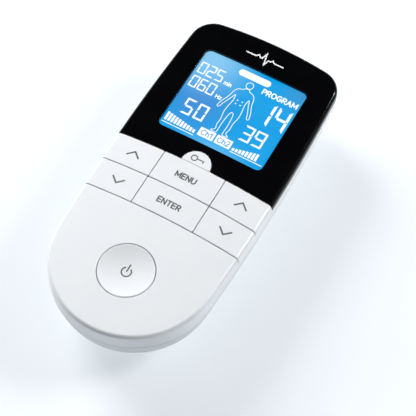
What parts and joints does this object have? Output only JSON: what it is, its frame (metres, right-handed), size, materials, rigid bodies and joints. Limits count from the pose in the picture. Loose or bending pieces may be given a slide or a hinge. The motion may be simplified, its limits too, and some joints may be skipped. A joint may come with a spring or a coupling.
{
  "type": "nerve stimulator",
  "caption": "Palm-sized two-channel nerve stimulator with a crowned white case, glossy black display panel, round power button and a belt clip.",
  "frame": {"origin": "under the middle of the case, on the flat outer face of the belt clip that it rests on", "axes": "+X to the user's right, +Y towards the display end, +Z out of the face"},
  "size_m": [0.063, 0.132, 0.0295],
  "materials": {
    "white_shell": "satin white moulded plastic, fine even grain",
    "white_keys": "satin white moulded keys with printed grey legends",
    "black_panel": "high-gloss black moulding",
    "window": "clear polished display lens",
    "tape": "black foam tape",
    "lcd": "liquid-crystal glass, lit pale blue from behind",
    "backlight": "milky light guide",
    "lcd_bezel": "grey moulded frame",
    "zebra": "layered silicone contact strip",
    "board": "green glass-fibre board with solder mask",
    "steel": "bright spring steel",
    "screw_steel": "zinc-plated screw",
    "chip": "black moulded package with tinned leads",
    "crystal_can": "drawn metal can",
    "ceramic_parts": "small surface-mount parts",
    "ferrite": "sintered ferrite",
    "copper": "enamelled copper winding",
    "capacitor_sleeve": "shrunk sleeve on an aluminium can",
    "socket": "black moulded socket with metal contacts",
    "cell_wrap": "plain printed wrap over a steel can"
  },
  "bodies": {
    "case": {"front_housing": "white_shell", "back_housing": "white_shell", "display_panel": "black_panel", "display_window": "window", "window_tape": "tape", "lcd_glass": "lcd", "lcd_backlight": "backlight", "lcd_frame": "lcd_bezel", "zebra_strips": "zebra", "main_board": "board", "dome_switches": "steel", "controller_chip": "chip", "crystal": "crystal_can", "chip_parts": "ceramic_parts", "transformer_cores": "ferrite", "transformer_coils": "copper", "capacitors": "capacitor_sleeve", "output_socket_ch1": "socket", "output_socket_ch2": "socket", "battery_springs": "steel", "contact_plates": "steel", "cell_1": "cell_wrap", "cell_2": "cell_wrap", "cell_3": "cell_wrap", "housing_screws": "screw_steel", "board_screws": "screw_steel"},
    "key_menu": {"key_menu": "white_keys"},
    "key_enter": {"key_enter": "white_keys"},
    "key_ch1_up": {"key_ch1_up": "white_keys"},
    "key_ch1_down": {"key_ch1_down": "white_keys"},
    "key_ch2_up": {"key_ch2_up": "white_keys"},
    "key_ch2_down": {"key_ch2_down": "white_keys"},
    "key_lock": {"key_lock": "white_keys"},
    "power_button": {"power_button": "white_keys"},
    "battery_cover": {"battery_cover": "white_shell"},
    "belt_clip": {"belt_clip": "white_shell"}
  },
  "joints": [
    {"name": "key_menu_press", "type": "slide", "parent": "case", "child": "key_menu", "axis": [0, 0, -1], "range_m": [0, 0.00025], "stiffness_N_per_m": 1600, "springref_m": -0.0004},
    {"name": "key_enter_press", "type": "slide", "parent": "case", "child": "key_enter", "axis": [0, 0, -1], "range_m": [0, 0.00025], "stiffness_N_per_m": 1600, "springref_m": -0.0004},
    {"name": "key_ch1_up_press", "type": "slide", "parent": "case", "child": "key_ch1_up", "axis": [0, 0, -1], "range_m": [0, 0.00025], "stiffness_N_per_m": 1600, "springref_m": -0.0004},
    {"name": "key_ch1_down_press", "type": "slide", "parent": "case", "child": "key_ch1_down", "axis": [0, 0, -1], "range_m": [0, 0.00025], "stiffness_N_per_m": 1600, "springref_m": -0.0004},
    {"name": "key_ch2_up_press", "type": "slide", "parent": "case", "child": "key_ch2_up", "axis": [0, 0, -1], "range_m": [0, 0.00025], "stiffness_N_per_m": 1600, "springref_m": -0.0004},
    {"name": "key_ch2_down_press", "type": "slide", "parent": "case", "child": "key_ch2_down", "axis": [0, 0, -1], "range_m": [0, 0.00025], "stiffness_N_per_m": 1600, "springref_m": -0.0004},
    {"name": "key_lock_press", "type": "slide", "parent": "case", "child": "key_lock", "axis": [0, 0, -1], "range_m": [0, 0.00025], "stiffness_N_per_m": 1600, "springref_m": -0.0004},
    {"name": "power_button_press", "type": "slide", "parent": "case", "child": "power_button", "axis": [0, 0, -1], "range_m": [0, 0.00025], "stiffness_N_per_m": 1600, "springref_m": -0.0004},
    {"name": "battery_cover_slide", "type": "slide", "parent": "case", "child": "battery_cover", "axis": [0, -1, 0], "range_m": [0, 0.075]},
    {"name": "belt_clip_slide", "type": "slide", "parent": "case", "child": "belt_clip", "axis": [0, 1, 0], "range_m": [0, 0.03]}
  ]
}
